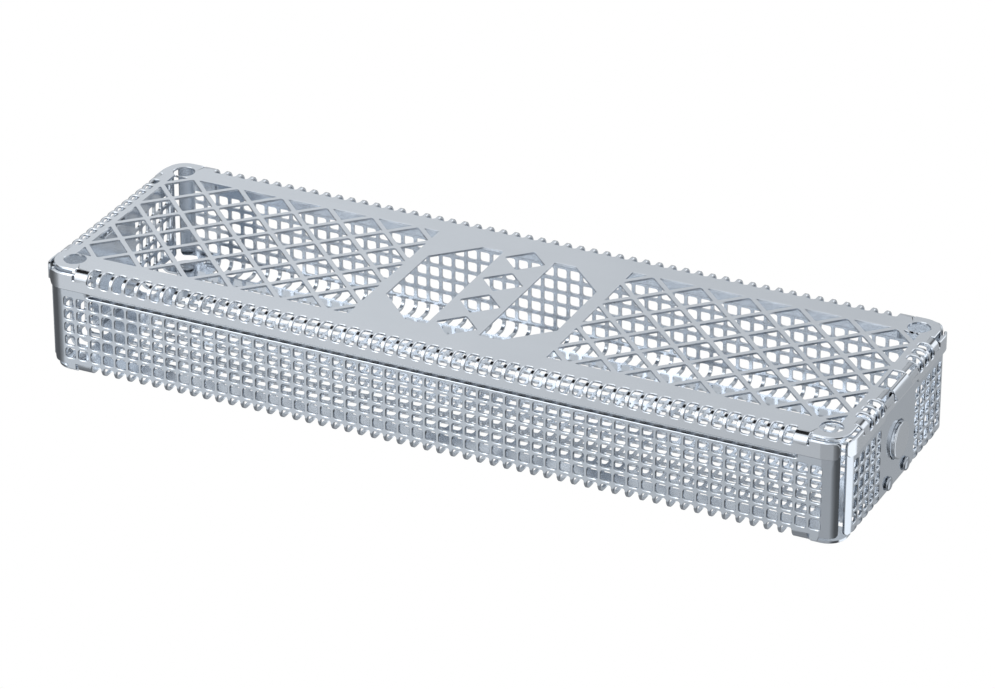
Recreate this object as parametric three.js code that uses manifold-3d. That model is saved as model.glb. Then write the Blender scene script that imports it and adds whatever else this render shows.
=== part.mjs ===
// Perforated stainless instrument tray: a shallow basket folded from one sheet, a hinged lid
// folded from a thinner sheet, four riveted feet and a sprung latch with a round push button.
// Millimetres, +Z up. +X is the latch end, -Y the front. The origin is the middle of the
// footprint, on the plane the feet stand on.

import * as THREE from 'three';
import { mergeVertices } from 'three/addons/utils/BufferGeometryUtils.js';
import Module from 'manifold-3d';

// ---- driving dimensions ------------------------------------------------------------------
const PITCH = 5;              // square grid that every row of holes and slots follows
const CORNER_X = 141.6;       // centre of each vertical corner, also of its foot
const CORNER_Y = 39.1;
const WALL_R = 8.4;           // outer corner radius of the basket wall
const SHEET = 1.0;            // basket sheet
const LID_SHEET = 0.8;        // lid sheet
const GAP = 0.3;              // clearance between neighbouring pieces
const TUCK = 0.03;            // joined walls sit this far inside each other's faces
const OVERLAP = 0.2;          // and run this far into one another
const SPECK = 0.005;          // edges shorter than this are merged away
const BEND_R = 3.3;           // outer radius of every folded edge
const BEND_STEPS = 3;         // facets across a folded edge

const FLOOR_Z = 2.0;          // underside of the basket floor
const LID_TOP = 42.0;         // upper face of the lid
const WALL_TOP = 39.3;        // wall edge under a folded lid edge
const CORNER_TOP = 40.4;      // wall edge in the corners
const STRIP_BOTTOM = 4.3;     // corner strips end above the floor
const TAB_R = 6.9;            // floor corner radius, inside the corner strips
const JOGGLE_LOW = 32.0;      // long walls step inwards between these two heights
const JOGGLE_HIGH = 34.4;
const JOGGLE_IN = 1.2;
const BAND_TOP = 40.5;        // upper edge of the stepped-in band

const FLANGE_LOW = 34.4;      // lower edge of the lid flange
const FLANGE_TOP = 40.6;      // upper edge of the flange where it is cut free of the lid plate
const PLATE_R = 7.4;          // corner radius of the lid plate
const LONG_SLOTS = 53;
const END_SLOTS = 12;
const LATCH_SLOTS = 3;        // slots each side of the latch, at the latch end
const SLOT_W = 3.5;
const SLOT_REACH = 5.3;       // how far a slot runs in over the lid plate
const SLOT_LOW = 37.5;        // lower end of a slot on the flange
const STEP_X = LONG_SLOTS * PITCH / 2;
const STEP_Y = END_SLOTS * PITCH / 2;
const LATCH_Y = STEP_Y - LATCH_SLOTS * PITCH;

const LATTICE_PITCH = 18;     // 45 degree lattice of the lid
const LATTICE_BAR = 1.7;
const FIELD_X = [36.3, 144.3];
const FIELD_Y = 36;
const WINDOW_X = [9.8, 32.3];
const WINDOW_Y = 30.5;
const WINDOW_CUT = 48.4;      // |x| + |y| along the cut corners of the two centre windows
const CORNER_HOLE_R = 4.0;

const HOOK_HALF = 6.5;        // half width of the spring's blade and hook
const HOOK_WINDOW = [144.8, 6.9];
const HOOK_LOW = 37.4;        // flange edge that the hook holds
const LATCH_LOW = 35.9;       // lower edge of the flange at the latch
const SPRING_X = 148.3;       // mid-thickness of the leaf spring
const SPRING_T = 0.8;
const SPRING_DROP = 2.2;      // reach of the spring below its rivets
const RIVET_Y = 7.8;
const RIVET_Z = 7.2;
const BUTTON_Z = 20.1;
const BUTTON_R = 6.6;
const BUTTON_FACE = 151.6;

const TONGUE_HALF = 8;        // lid tongue that pivots in the left end wall
const TONGUE_TIP = -147.9;
const KEEPER = { y: 8.4, low: 34.0, high: 38.2 };
const HOOK_NOTCH = { y: 7.2, low: 36.4 };  // lets the hook swing in over the end wall

const FOOT_R = 3.5;
const SHANK_R = 1.5;
const SHANK_HOLE_R = 1.8;

const HALF_X = CORNER_X + WALL_R;
const HALF_Y = CORNER_Y + WALL_R;
const LID_GROW = GAP + LID_SHEET;
const LID_X = HALF_X + LID_GROW;
const LID_Y = HALF_Y + LID_GROW;
const LID_R = WALL_R + LID_GROW;

// ---- solids ------------------------------------------------------------------------------
const wasm = await Module();
wasm.setup();

function toSolid(geometry) {
  const bare = geometry.clone();
  bare.deleteAttribute('normal');
  bare.deleteAttribute('uv');
  const merged = mergeVertices(bare, 1e-5);
  const vertProperties = new Float32Array(merged.attributes.position.array);
  const triVerts = new Uint32Array(merged.index.array);
  return new wasm.Manifold(new wasm.Mesh({ numProp: 3, vertProperties, triVerts }));
}

// Flat faces that several pieces share become one, and specks shorter than a hundredth go.
function toGeometry(solid) {
  const mesh = solid.asOriginal().simplify(SPECK).getMesh();
  const geometry = new THREE.BufferGeometry();
  geometry.setAttribute('position', new THREE.BufferAttribute(mesh.vertProperties, 3));
  geometry.setIndex(new THREE.BufferAttribute(mesh.triVerts, 1));
  return geometry;
}

function unite(solids) {
  return solids.reduce((sum, solid) => sum.add(solid)).asOriginal();
}

function box(x0, x1, y0, y1, z0, z1) {
  const geometry = new THREE.BoxGeometry(x1 - x0, y1 - y0, z1 - z0);
  geometry.translate((x0 + x1) / 2, (y0 + y1) / 2, (z0 + z1) / 2);
  return toSolid(geometry);
}

// A flat outline in X and Y, raised from z0 to z1.
function plate(points, z0, z1) {
  const shape = new THREE.Shape(points.map(([x, y]) => new THREE.Vector2(x, y)));
  const geometry = new THREE.ExtrudeGeometry(shape, { depth: z1 - z0, bevelEnabled: false, steps: 1 });
  geometry.translate(0, 0, z0);
  return toSolid(geometry);
}

// A profile drawn across a wall: u points outwards, v up. It runs along the wall's length from
// a to b. side is one of '+x', '-x', '+y', '-y', the way the wall faces.
function wallRun(profile, a, b, side) {
  const shape = new THREE.Shape(profile.map(([u, v]) => new THREE.Vector2(u, v)));
  const geometry = new THREE.ExtrudeGeometry(shape, { depth: b - a, bevelEnabled: false, steps: 1 });
  geometry.translate(0, 0, a);
  geometry.rotateX(Math.PI / 2);
  const turn = { '+x': 0, '+y': Math.PI / 2, '-x': Math.PI, '-y': -Math.PI / 2 }[side];
  geometry.rotateZ(turn);
  return toSolid(geometry);
}

function arc(cx, cy, r, from, to, steps) {
  const points = [];
  for (let i = 0; i <= steps; i += 1) {
    const angle = THREE.MathUtils.degToRad(from + (to - from) * i / steps);
    points.push([cx + r * Math.cos(angle), cy + r * Math.sin(angle)]);
  }
  return points;
}

function roundedRectangle(centreX, centreY, r, steps) {
  return [
    ...arc(centreX, centreY, r, 0, 90, steps),
    ...arc(-centreX, centreY, r, 90, 180, steps),
    ...arc(-centreX, -centreY, r, 180, 270, steps),
    ...arc(centreX, -centreY, r, 270, 360, steps),
  ];
}

function mirrorCorners(build) {
  return [[1, 1], [-1, 1], [-1, -1], [1, -1]].map(([sx, sy]) => build(sx, sy));
}

// Strips of wall bent round a corner, drawn in plan. The long wall's strip starts straight at x
// and turns by so many degrees; the end wall's starts at that angle and ends straight at y.
function longStrip(rOut, thickness, x, degrees) {
  const inner = rOut - thickness;
  return [
    [x, CORNER_Y + inner],
    ...arc(CORNER_X, CORNER_Y, inner, 90, 90 - degrees, 5),
    ...arc(CORNER_X, CORNER_Y, rOut, 90 - degrees, 90, 5),
    [x, CORNER_Y + rOut],
  ];
}

function endStrip(rOut, thickness, y, degrees) {
  const inner = rOut - thickness;
  return [
    ...arc(CORNER_X, CORNER_Y, inner, 90 - degrees, 0, 5),
    [CORNER_X + inner, y],
    [CORNER_X + rOut, y],
    ...arc(CORNER_X, CORNER_Y, rOut, 0, 90 - degrees, 5),
  ];
}

function cornerStrips(outline, z0, z1) {
  return mirrorCorners((sx, sy) => {
    const points = outline.map(([x, y]) => [x * sx, y * sy]);
    return plate(sx * sy > 0 ? points : points.reverse(), z0, z1);
  });
}

function drill(radius, x, y, z, length, axis) {
  const geometry = new THREE.CylinderGeometry(radius, radius, length, 20);
  if (axis === 'z') geometry.rotateX(Math.PI / 2);
  if (axis === 'x') geometry.rotateZ(Math.PI / 2);
  geometry.translate(x, y, z);
  return toSolid(geometry);
}

// ---- basket ------------------------------------------------------------------------------
// Floor edge, bend and wall in one profile; face is the distance of the outer face from the
// middle of the tray.
function foldedWall(face, top, joggled) {
  const innerR = BEND_R - SHEET;
  const bendZ = FLOOR_Z + BEND_R;
  const bendU = face - BEND_R;
  const outerBend = arc(bendU, bendZ, BEND_R, 270, 360, BEND_STEPS);
  const innerBend = arc(bendU, bendZ, innerR, 360, 270, BEND_STEPS);
  const inset = face - JOGGLE_IN;
  const outerTop = joggled
    ? [[face, JOGGLE_LOW], [inset, JOGGLE_HIGH], [inset, BAND_TOP]]
    : [[face, top]];
  const innerTop = joggled
    ? [[inset - SHEET, BAND_TOP], [inset - SHEET, JOGGLE_HIGH], [face - SHEET, JOGGLE_LOW]]
    : [[face - SHEET, top]];
  const root = face - BEND_R - 3;
  return [
    [root, FLOOR_Z], ...outerBend, ...outerTop, ...innerTop, ...innerBend, [root, FLOOR_Z + SHEET],
  ];
}

function flatWall(face, z0, z1, thickness) {
  return [[face - thickness, z0], [face, z0], [face, z1], [face - thickness, z1]];
}

function basketSolid() {
  const floor = plate(roundedRectangle(CORNER_X, CORNER_Y, TAB_R, 6), FLOOR_Z, FLOOR_Z + SHEET);
  const notchX = CORNER_X - 3;
  const notchY = CORNER_Y - 3;
  const pieces = [floor];
  const strip = SHEET - 2 * TUCK;
  for (const side of ['+y', '-y']) {
    pieces.push(wallRun(foldedWall(HALF_Y, CORNER_TOP, false), -notchX, notchX, side));
  }
  for (const side of ['+x', '-x']) {
    pieces.push(wallRun(foldedWall(HALF_X, WALL_TOP, false), -notchY, notchY, side));
  }
  const longOutline = longStrip(WALL_R - TUCK, strip, notchX - 1, 45);
  const endOutline = endStrip(WALL_R - TUCK, strip, notchY - 1, 60);
  pieces.push(...cornerStrips(longOutline, STRIP_BOTTOM, CORNER_TOP - TUCK));
  pieces.push(...cornerStrips(endOutline, STRIP_BOTTOM, WALL_TOP - TUCK));

  const cuts = [];
  for (const sign of [1, -1]) {
    // The long walls lose their straight upper edge here and get the stepped-in band instead.
    const y0 = sign > 0 ? HALF_Y - SHEET - 0.5 : -HALF_Y - 0.5;
    cuts.push(box(-STEP_X, STEP_X, y0, y0 + SHEET + 1, JOGGLE_LOW, CORNER_TOP + 1));
  }
  let solid = unite(pieces).subtract(unite(cuts));
  for (const side of ['+y', '-y']) {
    solid = solid.add(wallRun(foldedWall(HALF_Y, 0, true), -STEP_X + 0.01, STEP_X - 0.01, side));
  }

  const holes = mirrorCorners((sx, sy) => drill(SHANK_HOLE_R, sx * CORNER_X, sy * CORNER_Y, FLOOR_Z, 6, 'z'));
  for (const sign of [1, -1]) {
    holes.push(drill(SHANK_HOLE_R, HALF_X, sign * RIVET_Y, RIVET_Z, 6, 'x'));
  }
  holes.push(drill(BUTTON_R + 0.4, HALF_X, 0, BUTTON_Z, 6, 'x'));
  holes.push(box(-HALF_X - 2, -HALF_X + 2, -KEEPER.y, KEEPER.y, KEEPER.low, KEEPER.high));
  holes.push(box(HALF_X - 2, HALF_X + 1, -HOOK_NOTCH.y, HOOK_NOTCH.y, HOOK_NOTCH.low, WALL_TOP + 1));
  return solid.subtract(unite(holes));
}

// ---- lid ---------------------------------------------------------------------------------
function foldedFlange(face, low) {
  const bendZ = LID_TOP - BEND_R;
  const bendU = face - BEND_R;
  const innerR = BEND_R - LID_SHEET;
  const root = face - BEND_R - 4;
  return [
    [root, LID_TOP - LID_SHEET],
    ...arc(bendU, bendZ, innerR, 90, 0, BEND_STEPS),
    [face - LID_SHEET, low],
    [face, low],
    ...arc(bendU, bendZ, BEND_R, 0, 90, BEND_STEPS),
    [root, LID_TOP],
  ];
}

// Diamond openings of one lattice field, each cut back to the field's frame.
function latticeOpenings(sign) {
  const half = LATTICE_PITCH / 2;
  const reach = half - LATTICE_BAR / Math.SQRT2;
  const [x0, x1] = FIELD_X;
  const diamonds = [];
  for (let i = 0; x0 + i * half <= x1 + 0.1; i += 1) {
    for (let j = 0; -FIELD_Y + j * half <= FIELD_Y + 0.1; j += 1) {
      if ((i + j) % 2 === 0) {
        const x = sign * (x0 + i * half);
        const y = -FIELD_Y + j * half;
        const outline = [[x + reach, y], [x, y + reach], [x - reach, y], [x, y - reach]];
        diamonds.push(plate(outline, LID_TOP - 3, LID_TOP + 1));
      }
    }
  }
  const edge = LATTICE_BAR / 2;
  const left = sign > 0 ? x0 : -x1;
  const right = sign > 0 ? x1 : -x0;
  const field = box(left + edge, right - edge, -FIELD_Y + edge, FIELD_Y - edge, LID_TOP - 3, LID_TOP + 1);
  return unite(diamonds).intersect(field);
}

// The two long windows either side of the middle, with their outer corners cut at 45 degrees.
function centreWindow(sign) {
  const [x0, x1] = WINDOW_X;
  const shoulder = WINDOW_CUT - x1;
  const end = WINDOW_CUT - WINDOW_Y;
  const outline = [
    [x0, -WINDOW_Y], [end, -WINDOW_Y], [x1, -shoulder], [x1, shoulder], [end, WINDOW_Y], [x0, WINDOW_Y],
  ].map(([x, y]) => [x * sign, y]);
  return plate(sign > 0 ? outline : outline.reverse(), LID_TOP - 3, LID_TOP + 1);
}

function centreDiamonds() {
  const reach = LATTICE_PITCH / 2 - LATTICE_BAR / Math.SQRT2;
  return [-27, -9, 9, 27].map((y) => (
    plate([[reach, y], [0, y + reach], [-reach, y], [0, y - reach]], LID_TOP - 3, LID_TOP + 1)));
}

function slotCut(x, y, facing) {
  const half = SLOT_W / 2;
  if (facing === 'y') {
    const y0 = y > 0 ? LID_Y - SLOT_REACH : -LID_Y - 1;
    return box(x - half, x + half, y0, y0 + SLOT_REACH + 1, SLOT_LOW, LID_TOP + 1);
  }
  const x0 = x > 0 ? LID_X - SLOT_REACH : -LID_X - 1;
  return box(x0, x0 + SLOT_REACH + 1, y - half, y + half, SLOT_LOW, LID_TOP + 1);
}

function edgeSlots() {
  const slots = [];
  for (let i = 0; i < LONG_SLOTS; i += 1) {
    const x = (i - (LONG_SLOTS - 1) / 2) * PITCH;
    slots.push(slotCut(x, 1, 'y'));
    slots.push(slotCut(x, -1, 'y'));
  }
  for (let i = 0; i < END_SLOTS; i += 1) {
    const y = (i - (END_SLOTS - 1) / 2) * PITCH;
    slots.push(slotCut(-1, y, 'x'));
    if (Math.abs(y) > LATCH_Y) slots.push(slotCut(1, y, 'x'));
  }
  return slots;
}

function lidSolid() {
  const low = FLANGE_LOW;
  const strip = LID_SHEET - 2 * TUCK;
  const pieces = [
    plate(roundedRectangle(CORNER_X, CORNER_Y, PLATE_R, 6), LID_TOP - LID_SHEET, LID_TOP),
  ];
  for (const side of ['+y', '-y']) {
    pieces.push(wallRun(foldedFlange(LID_Y, low), -STEP_X, STEP_X, side));
  }
  pieces.push(wallRun(foldedFlange(LID_X, low), -STEP_Y, STEP_Y, '-x'));
  pieces.push(wallRun(foldedFlange(LID_X, low), LATCH_Y, STEP_Y, '+x'));
  pieces.push(wallRun(foldedFlange(LID_X, low), -STEP_Y, -LATCH_Y, '+x'));
  const latchWall = flatWall(LID_X - TUCK, LATCH_LOW, FLANGE_TOP, strip);
  pieces.push(wallRun(latchWall, -LATCH_Y - OVERLAP, LATCH_Y + OVERLAP, '+x'));
  const longOutline = longStrip(LID_R - TUCK, strip, STEP_X - OVERLAP, 41);
  const endOutline = endStrip(LID_R - TUCK, strip, STEP_Y - OVERLAP, 55);
  pieces.push(...cornerStrips(longOutline, low + TUCK, FLANGE_TOP));
  pieces.push(...cornerStrips(endOutline, low + TUCK, FLANGE_TOP));
  pieces.push(box(-LID_X, TONGUE_TIP, -TONGUE_HALF, TONGUE_HALF, low, low + LID_SHEET));

  const cuts = [
    latticeOpenings(1),
    latticeOpenings(-1),
    centreWindow(1),
    centreWindow(-1),
    ...centreDiamonds(),
    ...edgeSlots(),
    ...mirrorCorners((sx, sy) => drill(CORNER_HOLE_R, sx * CORNER_X, sy * CORNER_Y, LID_TOP, 6, 'z')),
    box(HOOK_WINDOW[0], LID_X + 1, -HOOK_WINDOW[1], HOOK_WINDOW[1], HOOK_LOW, LID_TOP + 1),
  ];
  return unite(pieces).subtract(unite(cuts));
}

// ---- latch -------------------------------------------------------------------------------
// Outline of a bent strip of constant thickness along a centre line of [x, z] points.
function stripOutline(line, thickness) {
  const left = [];
  const right = [];
  line.forEach((point, i) => {
    const before = new THREE.Vector2(...line[Math.max(i - 1, 0)]);
    const after = new THREE.Vector2(...line[Math.min(i + 1, line.length - 1)]);
    const along = after.sub(before).normalize();
    const offset = thickness / 2;
    left.push([point[0] - along.y * offset, point[1] + along.x * offset]);
    right.push([point[0] + along.y * offset, point[1] - along.x * offset]);
  });
  return [...right, ...left.reverse()];
}

function springSolid() {
  const line = [
    [SPRING_X, RIVET_Z - SPRING_DROP], [SPRING_X, 39.9], [SPRING_X + 0.25, 40.9], [SPRING_X + 0.9, 41.5],
    [SPRING_X + 1.7, 41.1], [SPRING_X + 3.5, 38.1],
  ];
  const blade = wallRun(stripOutline(line, SPRING_T), -HOOK_HALF, HOOK_HALF, '+x');
  const half = SPRING_T / 2;
  const root = box(SPRING_X - half, SPRING_X + half, -11.5, 11.5, RIVET_Z - SPRING_DROP, RIVET_Z + 3.6);
  const holes = [1, -1].map((sign) => drill(SHANK_HOLE_R, SPRING_X, sign * RIVET_Y, RIVET_Z, 6, 'x'));
  return blade.add(root).subtract(unite(holes));
}

function buttonGeometry() {
  const back = SPRING_X + SPRING_T / 2 + GAP;
  const depth = BUTTON_FACE - back;
  const profile = [[0, 0], [BUTTON_R, 0], [BUTTON_R, depth - 0.4], [BUTTON_R - 0.4, depth], [0, depth]];
  const geometry = new THREE.LatheGeometry(profile.map(([r, h]) => new THREE.Vector2(r, h)), 32);
  geometry.rotateZ(-Math.PI / 2);
  geometry.translate(back, 0, 0);
  return geometry;
}

// Rivet through the end wall and the spring, its axis along X, its outer head at +X.
function rivetGeometry() {
  const inner = SPRING_X - SPRING_T / 2 - GAP;
  const outer = HALF_X + GAP;
  const profile = [
    [0, inner - 0.8], [2.0, inner - 0.8], [2.4, inner - 0.4], [2.4, inner], [SHANK_R, inner],
    [SHANK_R, outer], [2.5, outer], [2.5, outer + 0.4], [1.9, outer + 0.9], [0, outer + 1.1],
  ];
  const geometry = new THREE.LatheGeometry(profile.map(([r, h]) => new THREE.Vector2(r, h)), 20);
  geometry.rotateZ(-Math.PI / 2);
  return geometry;
}

// Foot stud: disc below the floor, shank through it and a flat head inside.
function footGeometry() {
  const floorTop = FLOOR_Z + SHEET;
  const profile = [
    [0, 0], [FOOT_R - 0.5, 0], [FOOT_R, 0.5], [FOOT_R, FLOOR_Z - GAP], [SHANK_R, FLOOR_Z - GAP],
    [SHANK_R, floorTop + GAP], [2.4, floorTop + GAP], [2.4, floorTop + 0.8], [1.9, floorTop + 1.1],
    [0, floorTop + 1.1],
  ];
  const geometry = new THREE.LatheGeometry(profile.map(([r, h]) => new THREE.Vector2(r, h)), 20);
  geometry.rotateX(Math.PI / 2);
  return geometry;
}

// ---- assembly ----------------------------------------------------------------------------
function steel(color, roughness) {
  return new THREE.MeshStandardMaterial({ color, roughness, metalness: 1 });
}

function addPiece(parent, name, geometry, material, x = 0, y = 0, z = 0) {
  const mesh = new THREE.Mesh(geometry, material);
  mesh.name = name;
  mesh.position.set(x, y, z);
  parent.add(mesh);
}

const tray = new THREE.Group();

const base = new THREE.Group();
addPiece(base, 'basket', toGeometry(basketSolid()), steel('#b9bcc2', 0.28));
for (const [name, sx, sy] of [['front_left', -1, -1], ['front_right', 1, -1], ['back_left', -1, 1],
  ['back_right', 1, 1]]) {
  addPiece(base, `foot_${name}`, footGeometry(), steel('#8f949b', 0.3), sx * CORNER_X, sy * CORNER_Y, 0);
}
addPiece(base, 'latch_rivet_front', rivetGeometry(), steel('#a9adb4', 0.25), 0, -RIVET_Y, RIVET_Z);
addPiece(base, 'latch_rivet_back', rivetGeometry(), steel('#a9adb4', 0.25), 0, RIVET_Y, RIVET_Z);
tray.add(base);

const lid = new THREE.Group();
addPiece(lid, 'lid', toGeometry(lidSolid()), steel('#c3c6cc', 0.25));
tray.add(lid);

const latch = new THREE.Group();
addPiece(latch, 'latch_spring', toGeometry(springSolid()), steel('#b4b8be', 0.2));
addPiece(latch, 'latch_button', buttonGeometry(), steel('#b0b4bb', 0.25), 0, 0, BUTTON_Z);
tray.add(latch);

export default tray;
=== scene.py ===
"""Perforated stainless instrument tray: folded basket, pivoting lattice lid, sprung latch and feet.

Every sheet part starts as a flat blank. Geometry Nodes fill the blank's outline and punch the rows
of holes, slots and lattice openings through it; the blank then gets its thickness and is folded
along its bend lines. Blanks are drawn in millimetres, finished meshes are in metres, +Z up, +X the
latch end, -Y the front.
"""

from __future__ import annotations

import logging
import math
from dataclasses import dataclass, field
from enum import Enum
from typing import Callable, Sequence

import bmesh
import bpy
import numpy as np
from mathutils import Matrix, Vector

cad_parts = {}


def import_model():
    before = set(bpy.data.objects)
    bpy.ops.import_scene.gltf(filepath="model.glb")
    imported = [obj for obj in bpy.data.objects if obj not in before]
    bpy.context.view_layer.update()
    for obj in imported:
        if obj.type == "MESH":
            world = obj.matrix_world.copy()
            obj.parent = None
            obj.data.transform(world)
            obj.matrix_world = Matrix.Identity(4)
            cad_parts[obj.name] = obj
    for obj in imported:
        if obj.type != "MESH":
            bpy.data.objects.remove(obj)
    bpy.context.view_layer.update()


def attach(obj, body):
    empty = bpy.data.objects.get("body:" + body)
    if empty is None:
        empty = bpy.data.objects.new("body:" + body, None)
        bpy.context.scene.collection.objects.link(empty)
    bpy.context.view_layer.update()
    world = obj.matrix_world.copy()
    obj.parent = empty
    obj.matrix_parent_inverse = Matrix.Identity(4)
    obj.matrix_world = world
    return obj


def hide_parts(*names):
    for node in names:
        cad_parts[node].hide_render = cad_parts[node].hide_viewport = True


LOG = logging.getLogger("tray")
MM = 0.001
PITCH = 5.0  # of the perforations, in millimetres
CREASE_GUARD = 0.12  # extra crease just outside each bend, in millimetres
SAME_POINT = 1e-3  # loop points closer than this are one, in millimetres
WELD = 1e-4  # blank vertices closer than this are one, in millimetres
SHARP_ANGLE = 32.0  # edges over this many degrees stay crisp
Point = tuple[float, float]
Loop = list[Point]
Crease = tuple[int, float, Callable[[Vector], bool]]


class Family(Enum):
    """Families of repeated openings; each has its own size inputs on the blank's tree."""

    PERFORATION = "Perforation"
    BEND_LONG = "Long Bend Slot"
    BEND_END = "End Bend Slot"
    SLOT_LONG = "Long Slot"
    SLOT_END = "End Slot"
    DIAMOND = "Diamond"


class Side(Enum):
    """Which way the walls of a folded sheet turn from its flat part."""

    UP = 1
    DOWN = -1


# ---- node trees ----


class Graph:
    """A node tree with one method that adds nodes to it."""

    def __init__(self, tree: bpy.types.NodeTree) -> None:
        """Wraps a tree and empties it.

        Args:
            tree: the shader or geometry tree to build in.
        """
        self.tree = tree
        tree.nodes.clear()

    def node(
        self,
        kind: str,
        inputs: dict[str | int, object] | None = None,
        **settings: object,
    ) -> bpy.types.Node:
        """Adds one node.

        Args:
            kind: the node's type.
            inputs: a value, Term or socket for each input, by name or index.
            settings: the node's own settings, which are made first.

        Returns:
            The new node.
        """
        made = self.tree.nodes.new(kind)
        for name, value in settings.items():
            setattr(made, name, value)
        for key, value in (inputs or {}).items():
            socket = made.inputs[key]
            if isinstance(value, Term):
                value = value.socket
            if isinstance(value, bpy.types.NodeSocket):
                self.tree.links.new(value, socket)
            else:
                socket.default_value = value
        return made

    def term(
        self,
        kind: str,
        inputs: dict[str | int, object] | None = None,
        output: str | int = 0,
        **settings: object,
    ) -> Term:
        """Adds one node and returns one of its outputs as a Term."""
        return Term(self, self.node(kind, inputs, **settings).outputs[output])


class Term:
    """One output socket that adds Math nodes when it is used in an expression."""

    def __init__(self, graph: Graph, socket: bpy.types.NodeSocket) -> None:
        """Wraps a socket of a graph."""
        self.graph = graph
        self.socket = socket

    def _math(self, operation: str, first: object, second: object, clamp: bool = False) -> Term:
        """Adds a Math node on two values."""
        return self.graph.term(
            "ShaderNodeMath", {0: first, 1: second}, operation=operation, use_clamp=clamp
        )

    def __add__(self, other: object) -> Term:
        """Sum."""
        return self._math("ADD", self, other)

    def __radd__(self, other: object) -> Term:
        """Sum, reflected."""
        return self._math("ADD", other, self)

    def __sub__(self, other: object) -> Term:
        """Difference."""
        return self._math("SUBTRACT", self, other)

    def __rsub__(self, other: object) -> Term:
        """Difference, reflected."""
        return self._math("SUBTRACT", other, self)

    def __mul__(self, other: object) -> Term:
        """Product."""
        return self._math("MULTIPLY", self, other)

    def __rmul__(self, other: object) -> Term:
        """Product, reflected."""
        return self._math("MULTIPLY", other, self)

    def clamped(self) -> Term:
        """The value held between 0 and 1."""
        return self._math("ADD", self, 0.0, clamp=True)


# ---- finishes ----


@dataclass(frozen=True)
class SteelFinish:
    """An electropolished or turned stainless finish, as a procedural material."""

    name: str
    light: tuple[float, float, float]
    dark: tuple[float, float, float]
    roughness: float
    spread: float = 0.06
    grain: tuple[float, float, float] = (1.0, 1.0, 1.0)
    grain_depth: float = 0.02
    grain_scale: float = 1500.0
    stain_scale: float = 38.0
    scuff_scale: float = 260.0
    scuff_depth: float = 0.05

    def material(self) -> bpy.types.Material:
        """Builds the material.

        Returns:
            A material whose tone, gloss and bump vary with the sheet's grain, stains and scuffs.
        """
        made = bpy.data.materials.new(self.name)
        made.use_nodes = True
        graph = Graph(made.node_tree)
        where = graph.term("ShaderNodeTexCoord", output="Object")
        stretched = graph.term("ShaderNodeMapping", {"Vector": where, "Scale": self.grain})

        def noise(vector: Term, scale: float, detail: float, roughness: float) -> Term:
            """Noise at points of the piece."""
            given = {"Vector": vector, "Scale": scale, "Detail": detail, "Roughness": roughness}
            return graph.term("ShaderNodeTexNoise", given)

        grain = noise(stretched, self.grain_scale, 3.0, 0.6)
        stain = noise(where, self.stain_scale, 5.0, 0.55)
        scuff = noise(stretched, self.scuff_scale, 6.0, 0.7)
        wear = (stain * 0.7 + scuff * 0.3).clamped()
        tone = graph.term(
            "ShaderNodeMix",
            {0: wear, 6: (*self.dark, 1.0), 7: (*self.light, 1.0)},
            output=2,
            data_type="RGBA",
        )
        gloss = self.roughness + (wear - 0.5) * self.spread + (grain - 0.5) * (self.spread * 0.5)
        bump = graph.term(
            "ShaderNodeBump",
            {
                "Height": grain * self.grain_depth + scuff * self.scuff_depth,
                "Strength": 0.12,
                "Distance": 0.0004,
            },
        )
        shader = graph.node(
            "ShaderNodeBsdfPrincipled",
            {
                "Base Color": tone,
                "Metallic": 1.0,
                "Roughness": gloss.clamped(),
                "Normal": bump,
            },
        )
        out = graph.node("ShaderNodeOutputMaterial")
        made.node_tree.links.new(shader.outputs[0], out.inputs[0])
        return made


BASKET_STEEL = SteelFinish(
    "basket_sheet_steel", (0.70, 0.74, 0.79), (0.58, 0.62, 0.67), 0.13, grain=(0.15, 1.0, 1.0)
)
LID_STEEL = SteelFinish(
    "lid_sheet_steel", (0.78, 0.81, 0.85), (0.66, 0.69, 0.73), 0.16, grain=(0.12, 1.0, 1.0)
)
SPRING_STEEL = SteelFinish(
    "spring_strip_steel", (0.74, 0.77, 0.81), (0.60, 0.63, 0.67), 0.13, grain=(1.0, 1.0, 0.15)
)
# Feet and rivets: base tone set well below the sheet steel's, a painted shade that stands in for
# the dark reflections on them; the rougher turned finish is their own.
STUD_STEEL_PAINTED_DARK = SteelFinish(
    "turned_stud_steel_painted_dark", (0.50, 0.53, 0.57), (0.36, 0.39, 0.43), 0.22, spread=0.1
)


# ---- flat blanks ----


@dataclass(frozen=True)
class Rows:
    """A grid of equal openings on a blank, in millimetres."""

    family: Family
    columns: int
    rows: int
    pitch: Point
    centre: Point
    turn: float = 0.0


@dataclass(frozen=True)
class Opening:
    """The size of one family's opening, in millimetres."""

    family: Family
    width: float
    height: float
    corner: float
    steps: int


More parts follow.
